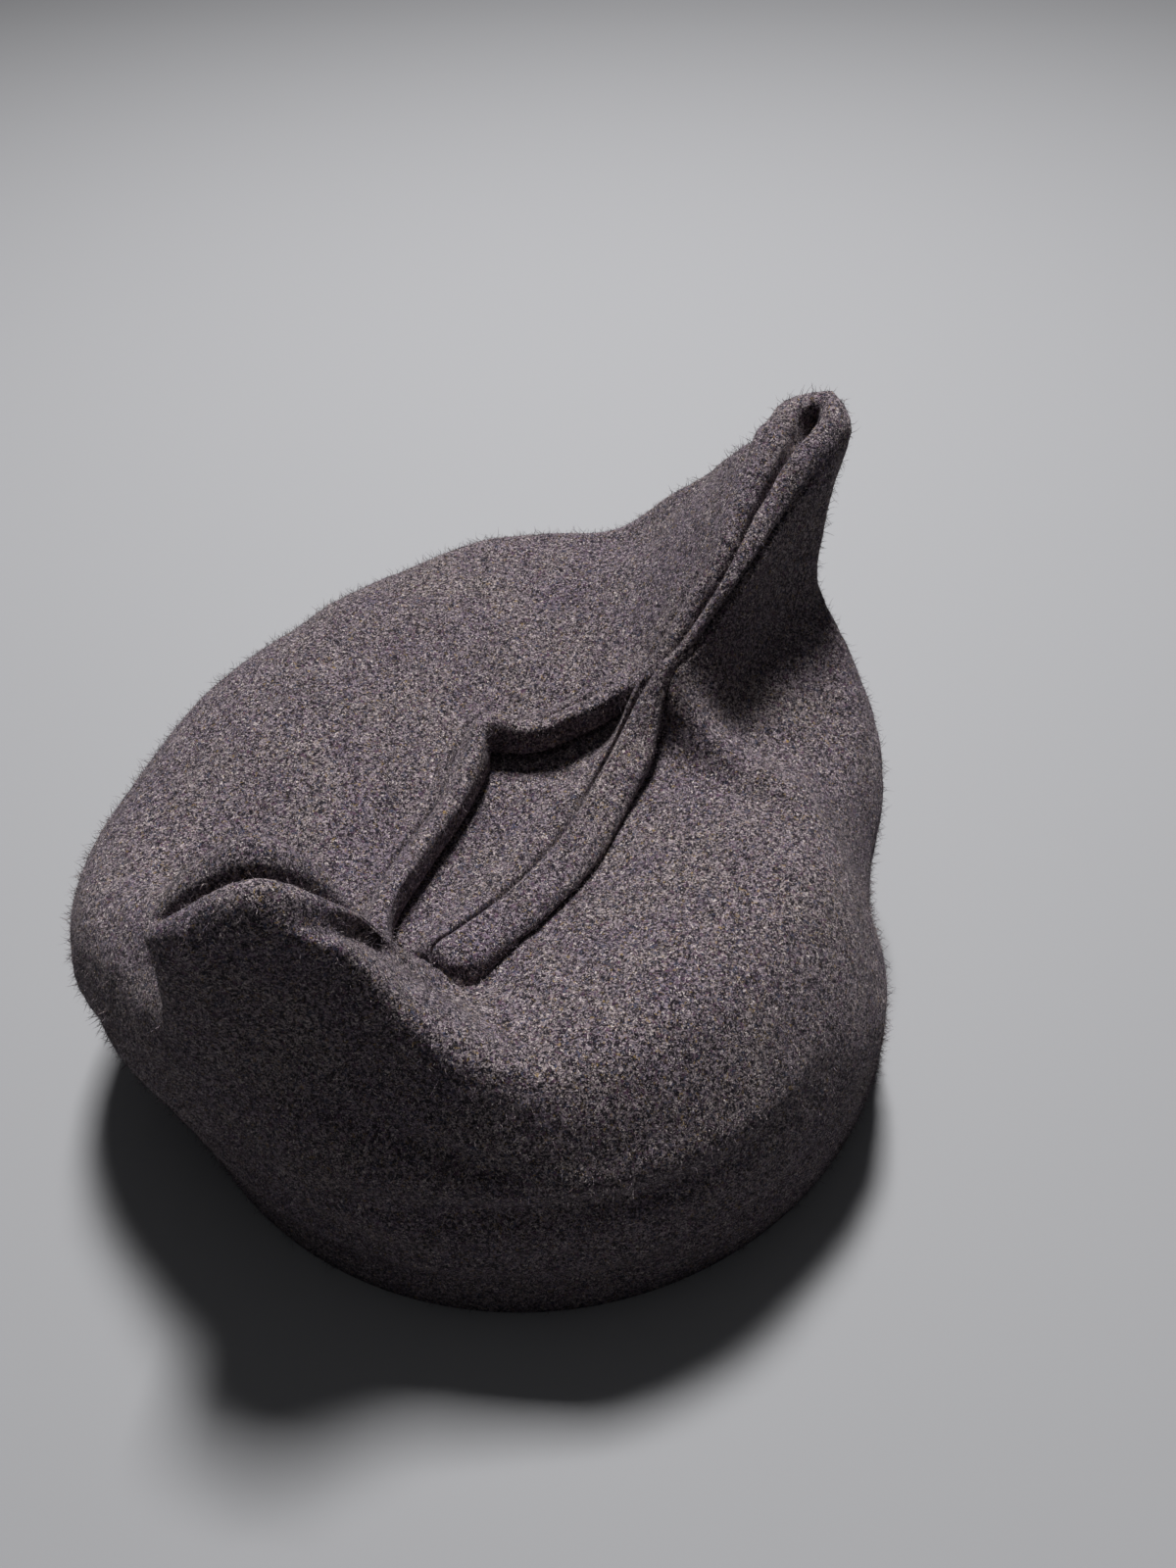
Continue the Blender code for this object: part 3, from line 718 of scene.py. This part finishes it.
def leaf_section(knot, fold, full):
    """Places round the leaf's cross-section at one place of the seam, from its left margin.

    full is 1 along the leaf and falls at its rounded ends, where the band draws in and sinks.
    """
    under_left = inside_at([2.0 - knot], OUTER_STEPS)[0][::-1]
    right_panel = outside_at([knot], OUTER_STEPS)[0][::-1]
    width = BAND_WIDTH * full
    height = BAND_HEIGHT * full
    fold = right_panel[0] + (fold - right_panel[0]) * full - UP * END_SINK * (1.0 - full)
    right = unit((fold - right_panel[0]) * (1.0, 1.0, 0.0))
    margin = read_at(run_length(under_left), under_left, TUCK) - UP * CLEARANCE
    left = under_left[0] - UP * (CLEARANCE + LEAF_SAG)
    lying = UP * (CLEARANCE - END_SINK * (1.0 - full))
    footing = read_at(run_length(right_panel), right_panel, width * FOOTING_IN) + lying
    hidden = right_panel[0] + lying
    stitch = fold - right * width - UP * (STITCH_DROP * height + STITCH_DIMPLE)
    crest = fold - right * width * CREST_IN
    brow = fold - right * width * BROW_IN - UP * BROW_DROP * height
    nose = fold - UP * NOSE_DROP * height
    heel = footing - right * HEEL_OUT * width
    middle = left * (1.0 - MIDDLE_SHARE) + stitch * MIDDLE_SHARE - UP * MIDDLE_DROP * height
    before_stitch = stitch + (left - stitch) * LEAF_BANK + UP * STITCH_DIMPLE
    after_stitch = fold - right * width * BAND_BANK + UP * BAND_BANK_DROP * height
    below_left = left - UP * FELT
    below_middle = middle - UP * FELT
    below_stitch = hidden - right * UNDER_STITCH_OUT * width
    below_stitch[2] = max(hidden[2], stitch[2] - UNDER_STITCH_FELT * FELT)
    return np.array((
        margin, left, middle, before_stitch, stitch, after_stitch, crest, brow, nose,
        footing, heel, hidden, below_stitch, below_middle, below_left, margin - UP * FELT,
    ))


def lip_places(knot, places_wanted):
    """Places laid over one rolled edge: share of its width from the groove, height above it."""
    skin = outside_at([knot], OUTER_STEPS)[0][::-1]
    next_skin = outside_at([knot + NUDGE], OUTER_STEPS)[0][::-1]
    outside = unit(np.cross(np.gradient(skin, axis=0), next_skin - skin))
    length = run_length(skin)
    foot = length[FOOT_FROM_GROOVE]
    spots = []
    for share, height in places_wanted:
        point = read_at(length, skin, share * foot)
        away = unit(read_at(length, outside, share * foot))
        spots.append(point + away * (height + unevenness([point])[0]))
    return spots


def ridge_section(knot, lift):
    """The same places laid over the tall peak's two rolled edges, where the leaf becomes its ridge."""
    left_top = [(RIDGE_MARGIN[0], -RIDGE_LIFT * RIDGE_MARGIN[1])]
    left_top += [(share, lift * part) for share, part in RIDGE_LEFT]
    right_top = [(share, lift * part) for share, part in RIDGE_RIGHT]
    right_end = [(share, -RIDGE_LIFT * part) for share, part in RIDGE_RIGHT_UNDER]
    left_end = [(share, -RIDGE_LIFT * part) for share, part in RIDGE_LEFT_UNDER]
    return np.array(
        lip_places(2.0 - knot, left_top)
        + lip_places(knot, right_top + right_end)
        + lip_places(2.0 - knot, left_end)
    )


print("leaf table rows:", len(FOLD))

# %% The leaf's mesh
fold_rows = np.array([place(*row) for row in FOLD])
leaf_start = KNOTS[NEAR_END] + LEAF_INSET
band_start = KNOTS[NEAR_END] + BAND_INSET
leaf_end = KNOTS[FAR_END] - LEAF_INSET
leaf_places = np.concatenate((
    np.linspace(leaf_start, band_start, LEAF_ROWS[0], endpoint=False),
    np.linspace(band_start, band_start + NEAR_ROUND, LEAF_ROWS[1], endpoint=False),
    np.linspace(band_start + NEAR_ROUND, leaf_end + RIDGE_REACH, LEAF_ROWS[2]),
))
from_start = np.clip((leaf_places - band_start) / NEAR_ROUND, 0.0, 1.0)
leaf_full = FLAP + (1.0 - FLAP) * np.sqrt(1.0 - (1.0 - from_start) ** 2)
ramp_start = leaf_end - RAMP_BEFORE
ramp_end = leaf_end + RAMP_AFTER


def flat_section(knot, full):
    """The leaf's section where it lies flat, with its fold read from the table."""
    along = smooth(RIGHT_EDGE[:, 1], KNOTS, [knot])
    return leaf_section(knot, smooth(fold_rows, fold_rows[:, 1], along)[0], full)


def fading_ridge(knot):
    """The ridge's section, which sinks into the rolled edges on its way up the peak."""
    past_end = np.clip((knot - leaf_end) / RIDGE_REACH, 0.0, 1.0)
    return ridge_section(knot, RIDGE_LIFT * (1.0 - RIDGE_FADE * past_end))


def ramp_between(knot):
    """The leaf's sweep from the slot up to the ridge, smooth where it meets both."""
    length = ramp_end - ramp_start
    u = (knot - ramp_start) / length
    low = flat_section(ramp_start, 1.0)
    high = fading_ridge(ramp_end)
    low_slope = (low - flat_section(ramp_start - RAMP_NUDGE, 1.0)) / RAMP_NUDGE * length
    high_slope = (fading_ridge(ramp_end + RAMP_NUDGE) - high) / RAMP_NUDGE * length
    return blend(u, low, low_slope, high, high_slope)


leaf_rings = []
stitch_line = []
for knot, full in zip(leaf_places, leaf_full):
    if knot <= ramp_start:
        section = flat_section(knot, full)
    elif knot < ramp_end:
        section = ramp_between(knot)
    else:
        section = fading_ridge(knot)
    stitch_line.append(section[STITCH_PLACE])
    corners = np.concatenate((section, section[:1]))
    length = np.sqrt(np.linalg.norm(np.diff(corners, axis=0), axis=1)) + SHORTEST
    ring_knots = np.concatenate(([0.0], np.cumsum(length)))
    wanted = np.concatenate([
        np.linspace(low, high, RING_STEPS, endpoint=False)
        for low, high in zip(ring_knots[:-1], ring_knots[1:])
    ])
    leaf_rings.append(smooth(corners, ring_knots, wanted))
leaf_rings = np.array(leaf_rings)
leaf_points = leaf_rings.reshape(-1, 3)
leaf_index = np.arange(len(leaf_points)).reshape(leaf_rings.shape[:2])
following = np.roll(leaf_index, -1, axis=1)
leaf_quads = np.stack((leaf_index[:-1], following[:-1], following[1:], leaf_index[1:]), axis=-1)
leaf_ends = [leaf_index[0][::-1].tolist(), leaf_index[-1].tolist()]
leaf = soft_object("leaf_felt", leaf_points, leaf_quads.reshape(-1, 4).tolist() + leaf_ends)

# %% [markdown]
# Boiled wool is a heather: dark brown and violet fibres with pale, ochre and near-black ones
# carded in. Layers of fine noise drop flecks of each colour on the ground, at the size that the
# real fibres' clumps have, about half a millimetre. A soft sheen on the shader's own socket stands
# for the light that a nap catches at grazing angles.

# %% The felt finish
DARK_WOOL = (0.007, 0.004, 0.008, 1.0)
VIOLET_WOOL = (0.250, 0.195, 0.250, 1.0)
WARM_WOOL = (0.370, 0.308, 0.305, 1.0)
FLECKS = (
    # scale, detail, from, to, colour
    (900.0, 2.0, 0.56, 0.68, (0.100, 0.048, 0.085, 1.0)),
    (1000.0, 2.0, 0.58, 0.68, (0.048, 0.056, 0.100, 1.0)),
    (1500.0, 1.0, 0.61, 0.68, (0.600, 0.520, 0.500, 1.0)),
    (1200.0, 2.0, 0.62, 0.70, (0.300, 0.200, 0.085, 1.0)),
    (1100.0, 2.0, 0.58, 0.65, (0.010, 0.007, 0.011, 1.0)),
)
CLOUD_SCALE = 42.0
CLOUD_RANGE = (0.30, 0.70)
HEATHER_SCALE = 1250.0
HEATHER_RANGE = (0.46, 0.58)
FIBRE_SCALE = 1400.0
FIBRE_BUMP = 0.0010
NOISE_ROUGHNESS = 0.6
NOISE_DISTORTION = 1.2
SHIFT_ALONG = (1.0, 0.7, 1.3)


def felt_finish(name, brightness):
    """Heathered wool: pale and dark fibres, tinted flecks, a soft sheen and a fibrous bump."""
    material = bpy.data.materials.new(name)
    material.use_nodes = True
    nodes = material.node_tree.nodes
    links = material.node_tree.links
    shader = nodes["Principled BSDF"]
    shader.inputs["Roughness"].default_value = 0.95
    shader.inputs["Specular IOR Level"].default_value = 0.20
    shader.inputs["Sheen Weight"].default_value = 0.16
    shader.inputs["Sheen Roughness"].default_value = 0.50
    shader.inputs["Sheen Tint"].default_value = (0.75, 0.68, 0.74, 1.0)
    coordinates = nodes.new("ShaderNodeTexCoord")

    def noise_at(scale, detail, shift):
        moved = nodes.new("ShaderNodeMapping")
        moved.inputs["Location"].default_value = [shift * part for part in SHIFT_ALONG]
        texture = nodes.new("ShaderNodeTexNoise")
        texture.inputs["Scale"].default_value = scale
        texture.inputs["Detail"].default_value = detail
        texture.inputs["Roughness"].default_value = NOISE_ROUGHNESS
        texture.inputs["Distortion"].default_value = NOISE_DISTORTION
        links.new(coordinates.outputs["Object"], moved.inputs["Vector"])
        links.new(moved.outputs["Vector"], texture.inputs["Vector"])
        return texture.outputs["Fac"]

    def between(value, low, high):
        reach = nodes.new("ShaderNodeMapRange")
        reach.inputs["From Min"].default_value = low
        reach.inputs["From Max"].default_value = high
        links.new(value, reach.inputs["Value"])
        return reach.outputs["Result"]

    def mixed(factor, below, above):
        mixer = nodes.new("ShaderNodeMix")
        mixer.data_type = "RGBA"
        links.new(factor, mixer.inputs["Factor"])
        for socket, colour in ((mixer.inputs[6], below), (mixer.inputs[7], above)):
            if isinstance(colour, tuple):
                socket.default_value = colour
            else:
                links.new(colour, socket)
        return mixer.outputs[2]

    def scaled(colour, factor):
        return tuple(value * factor for value in colour[:3]) + (1.0,)

    cloud = between(noise_at(CLOUD_SCALE, 3.0, 0.0), *CLOUD_RANGE)
    pale = mixed(cloud, scaled(VIOLET_WOOL, brightness), scaled(WARM_WOOL, brightness))
    heather = between(noise_at(HEATHER_SCALE, 2.5, 5.0), *HEATHER_RANGE)
    colour = mixed(heather, scaled(DARK_WOOL, brightness), pale)
    for number, (scale, detail, low, high, fleck) in enumerate(FLECKS):
        strength = between(noise_at(scale, detail, number + 1.0), low, high)
        colour = mixed(strength, colour, scaled(fleck, brightness))
    links.new(colour, shader.inputs["Base Color"])

    fibre = nodes.new("ShaderNodeBump")
    fibre.inputs["Strength"].default_value = 0.9
    fibre.inputs["Distance"].default_value = FIBRE_BUMP
    links.new(noise_at(FIBRE_SCALE, 3.0, 9.0), fibre.inputs["Height"])
    links.new(fibre.outputs["Normal"], shader.inputs["Normal"])
    return material


FELT_BRIGHTNESS = 1.0
felt = felt_finish("boiled_wool", FELT_BRIGHTNESS)
for piece in (crown, leaf):
    piece.data.materials.append(felt)

# %% [markdown]
# The leaf's turned margin is sewn down. The thread matches the wool and sinks into it, so it shows
# as a row of small dips with a dark stitch in each. Each stitch is a short closed rod.

# %% Stitches along the leaf's margin
STITCH_LENGTH = 0.0026
STITCH_GAP = 0.0011
STITCH_RADIUS = 0.00026
STITCH_SINK = 0.00005
STITCH_SIDES = 6
STITCH_RINGS = (
    # place   thickness  sink
    (0.00,    0.45,      2.0),
    (0.25,    1.00,      0.0),
    (0.75,    1.00,      0.0),
    (1.00,    0.45,      2.0),
)
SEWN_PAST_RAMP = 0.03
THREAD_BRIGHTNESS = 0.45


def stitch_rods(line):
    """Points and faces of a row of stitches along a line."""
    length = run_length(line)
    points = []
    faces = []
    for start in np.arange(STITCH_GAP, length[-1] - STITCH_LENGTH, STITCH_LENGTH + STITCH_GAP):
        spots = [read_at(length, line, start + ring[0] * STITCH_LENGTH) for ring in STITCH_RINGS]
        run = unit(spots[-1] - spots[0])
        side = unit(np.cross(run, UP))
        top = np.cross(side, run)
        first = len(points)
        for spot, (_, thick, sink) in zip(spots, STITCH_RINGS):
            centre = spot - top * (STITCH_SINK + sink * STITCH_RADIUS)
            for corner in range(STITCH_SIDES):
                angle = radians(360.0 * corner / STITCH_SIDES)
                points.append(centre + (side * cos(angle) + top * sin(angle)) * STITCH_RADIUS * thick)
        last = len(points) - STITCH_SIDES
        for near in range(first, last, STITCH_SIDES):
            for corner in range(STITCH_SIDES):
                after = (corner + 1) % STITCH_SIDES
                far = near + STITCH_SIDES
                faces.append((near + corner, far + corner, far + after, near + after))
        faces.append(tuple(range(first, first + STITCH_SIDES)))
        faces.append(tuple(reversed(range(last, last + STITCH_SIDES))))
    return np.array(points), faces


sewn_rows = (leaf_places > band_start + NEAR_ROUND / 2) & (leaf_places < ramp_start + SEWN_PAST_RAMP)
stitches = soft_object("margin_stitches", *stitch_rods(np.array(stitch_line)[sewn_rows]))
stitches.data.materials.append(felt_finish("sewing_thread", THREAD_BRIGHTNESS))

# %% [markdown]
# Boiled wool has a nap: countless short fibres that lie over each other, and a few long ones that
# stand up and catch the light at the outline. Particles would be lost in the export, so each fibre
# is a thin closed spike of its own. The short ones are straight, the long ones bend once.
# Where the felt is pressed into a crease it has no nap.
# Half the short fibres are a brightened copy of the wool: partly its own pale fibres, partly painted
# glints. The other half are a darkened copy, painted shade for the gaps between fibres.

# %% The nap
NAP_SEED = 7
NAP_SHORT = (0.0007, 0.0017)
NAP_LONG = (0.0018, 0.0042)
NAP_THICK = 0.000070
THICK_SPREAD = (0.7, 1.3)
TAPER = 0.35
WANDER = 0.55
NAP_ROOT = 0.00012
NAP_FLOOR = 0.0004
ROUND_SPIKE = ((0, 1), (1, 2), (2, 0))
PRESSED_WIDTH = 0.0016
PRESSED_DEPTH = 0.0008
# The pale brightness lifts the wool's own pale fibres further into painted glints. The dark brightness
# makes fibres that are painted shade for the gaps between fibres.
PALE_AND_GLINT_BRIGHTNESS = 2.1
GAP_SHADE_BRIGHTNESS = 0.22


def scatter(grid, faces, count, chance):
    """Even random places on quads, with the way out of the felt at each."""
    corner = grid[faces]
    across = np.cross(corner[:, 2] - corner[:, 0], corner[:, 3] - corner[:, 1])
    area = np.linalg.norm(across, axis=1)
    pick = chance.choice(len(faces), count, p=area / area.sum())
    u = chance.random((count, 1))
    v = chance.random((count, 1))
    corner = corner[pick]
    low = corner[:, 0] * (1 - u) + corner[:, 1] * u
    high = corner[:, 3] * (1 - u) + corner[:, 2] * u
    return low * (1 - v) + high * v, unit(across[pick])


def spikes(roots, out, reach, lift, bend, chance):
    """Closed thin spikes: a small triangle at the root, further ones on the way, and a tip."""
    count = len(roots)
    side = unit(np.cross(out, chance.normal(size=(count, 3))))
    lean = out * lift + side * (1.0 - lift)
    length = chance.uniform(reach[0], reach[1], (count, 1))
    thick = NAP_THICK * chance.uniform(*THICK_SPREAD, (count, 1))
    directions = [unit(lean)]
    for _ in range(bend):
        directions.append(unit(directions[-1] + WANDER * chance.normal(size=(count, 3))))
    spots = [roots - out * NAP_ROOT]
    for direction in directions:
        spots.append(spots[-1] + direction * length / len(directions))
    other = np.cross(out, side)
    rings = []
    for number, spot in enumerate(spots[:-1]):
        for angle in (0.0, 120.0, 240.0):
            ray = side * cos(radians(angle)) + other * sin(radians(angle))
            rings.append(spot + ray * thick * (1.0 - TAPER * number))
    points = np.stack(rings + [spots[-1]], axis=1)
    faces = [(0, 2, 1)]
    top = 3 * len(directions)
    for ring in range(0, top - 3, 3):
        for here, after in ROUND_SPIKE:
            faces.append((ring + here, ring + after, ring + after + 3))
            faces.append((ring + here, ring + after + 3, ring + here + 3))
    for here, after in ROUND_SPIKE:
        faces.append((top - 3 + here, top - 3 + after, top))
    high = points[:, :, 2].min(axis=1) > NAP_FLOOR
    points = points[high]
    size = points.shape[1]
    first = np.arange(len(points)) * size
    faces = (np.array(faces)[None] + first[:, None, None]).reshape(-1, 3)
    return points.reshape(-1, 3), faces.tolist()


# A brightened copy of the wool gives pale fibres with painted glints. A darkened copy gives painted shade
# between fibres.
pale_and_glint_nap = felt_finish("pale_wool_and_painted_glint", PALE_AND_GLINT_BRIGHTNESS)
gap_shade_nap = felt_finish("painted_gap_shade_wool", GAP_SHADE_BRIGHTNESS)
outer_quads = quads(np.arange(len(outer_points)).reshape(outer_skin.shape[:2]), False)
creased = crease_depth(outer_skin, places, PRESSED_WIDTH)
outer_quads = outer_quads[creased[:, :-1].ravel() > -PRESSED_DEPTH]
leaf_open = np.isin(np.arange(leaf_rings.shape[1]) // RING_STEPS, TOP_PLACES)
leaf_top = leaf_quads[:, leaf_open].reshape(-1, 4)
on_crown = (outer_points, outer_quads, "crown_felt")
on_leaf = (leaf_points, leaf_top, "leaf_felt")
chance = np.random.default_rng(NAP_SEED)
nap = []
for name, count, reach, lift, bend, finish, (ground, faces, slot) in (
    # name, fibres, length, how upright, bends, finish, what they lie on
    ("crown_nap_pale_and_glint", 46000, NAP_SHORT, 0.38, 0, pale_and_glint_nap, on_crown),
    ("crown_nap_painted_shade", 46000, NAP_SHORT, 0.30, 0, gap_shade_nap, on_crown),
    ("crown_fuzz", 17000, NAP_LONG, 0.50, 1, felt, on_crown),
    ("leaf_nap_pale_and_glint", 4500, NAP_SHORT, 0.36, 0, pale_and_glint_nap, on_leaf),
    ("leaf_nap_painted_shade", 4500, NAP_SHORT, 0.36, 0, gap_shade_nap, on_leaf),
):
    roots, out = scatter(ground, faces, count, chance)
    fibres = new_object(name, *spikes(roots, out, reach, lift, bend, chance))
    fibres.data.materials.append(finish)
    nap.append((fibres, slot))

# %% [markdown]
# A pale floor and soft studio light. The key light stands high behind the left shoulder of the
# hat, as the shadow of the tall peak on the right panel shows.

# %% Floor, light and camera
FLOOR_SIZE = 6.0
FLOOR_COLOUR = (0.30, 0.30, 0.31, 1.0)
KEY_FROM = Vector((-0.250, 0.340, 0.906))
KEY_DISTANCE = 1.5
KEY_SIZE = 0.26
KEY_POWER = 34.0
SKY_SIZE = 1.6
SKY_POWER = 1.5
WORLD_COLOUR = (0.80, 0.86, 1.0, 1.0)
WORLD_STRENGTH = 0.020
AIM = Vector((0.0, 0.0, 0.05))
UP_WAY = Vector((0.0, 0.0, 1.0))

bpy.ops.mesh.primitive_plane_add(size=FLOOR_SIZE, location=(0.0, 0.0, 0.0))
floor = bpy.context.object
floor.name = "floor"
floor_finish = bpy.data.materials.new("pale_floor")
floor_finish.use_nodes = True
floor_shader = floor_finish.node_tree.nodes["Principled BSDF"]
floor_shader.inputs["Base Color"].default_value = FLOOR_COLOUR
floor_shader.inputs["Roughness"].default_value = 0.7
floor.data.materials.append(floor_finish)


def area_light(name, direction, distance, size, power):
    """A square lamp that faces the hat."""
    data = bpy.data.lights.new(name, "AREA")
    data.shape = "SQUARE"
    data.size = size
    data.energy = power
    lamp = bpy.data.objects.new(name, data)
    lamp.location = AIM + direction.normalized() * distance
    lamp.rotation_mode = "QUATERNION"
    lamp.rotation_quaternion = (-direction).to_track_quat("-Z", "Y")
    bpy.context.scene.collection.objects.link(lamp)


area_light("key_light", KEY_FROM, KEY_DISTANCE, KEY_SIZE, KEY_POWER)
area_light("sky_panel", UP_WAY, KEY_DISTANCE, SKY_SIZE, SKY_POWER)
world = bpy.data.worlds.new("studio")
world.use_nodes = True
background = world.node_tree.nodes["Background"]
background.inputs["Color"].default_value = WORLD_COLOUR
background.inputs["Strength"].default_value = WORLD_STRENGTH
bpy.context.scene.world = world
bpy.context.scene.view_settings.view_transform = "Standard"

CAMERA_PLACE = Vector((0.1458, -0.1422, 0.275)) + Vector(RIM_CENTRE)
CAMERA_AZIMUTH = radians(41.0)
CAMERA_DOWN = radians(45.0)
CAMERA_ROLL = radians(-2.0)
forward = Vector((
    -sin(CAMERA_AZIMUTH) * cos(CAMERA_DOWN),
    cos(CAMERA_AZIMUTH) * cos(CAMERA_DOWN),
    -sin(CAMERA_DOWN),
))
level = Vector((cos(CAMERA_AZIMUTH), sin(CAMERA_AZIMUTH), 0.0))
upright = level.cross(forward)
right_way = level * cos(CAMERA_ROLL) + upright * sin(CAMERA_ROLL)
up_way = upright * cos(CAMERA_ROLL) - level * sin(CAMERA_ROLL)
lens = bpy.data.cameras.new("photo_camera")
lens.lens = 27.0
lens.sensor_width = 36.0
lens.clip_start = 0.01
camera = bpy.data.objects.new("photo_camera", lens)
turned = Matrix((right_way, up_way, -forward)).transposed().to_4x4()
camera.matrix_world = Matrix.Translation(CAMERA_PLACE) @ turned
bpy.context.scene.collection.objects.link(camera)
bpy.context.scene.camera = camera

# %% Each piece rides on the hat and stands for its solid
for piece, node, slot in ((crown, "crown_shell", "crown_felt"), (leaf, "leaf_insert", "leaf_felt")):
    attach(piece, "root")
    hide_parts(node)
for piece, slot in nap + [(stitches, "leaf_felt")]:
    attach(piece, "root")
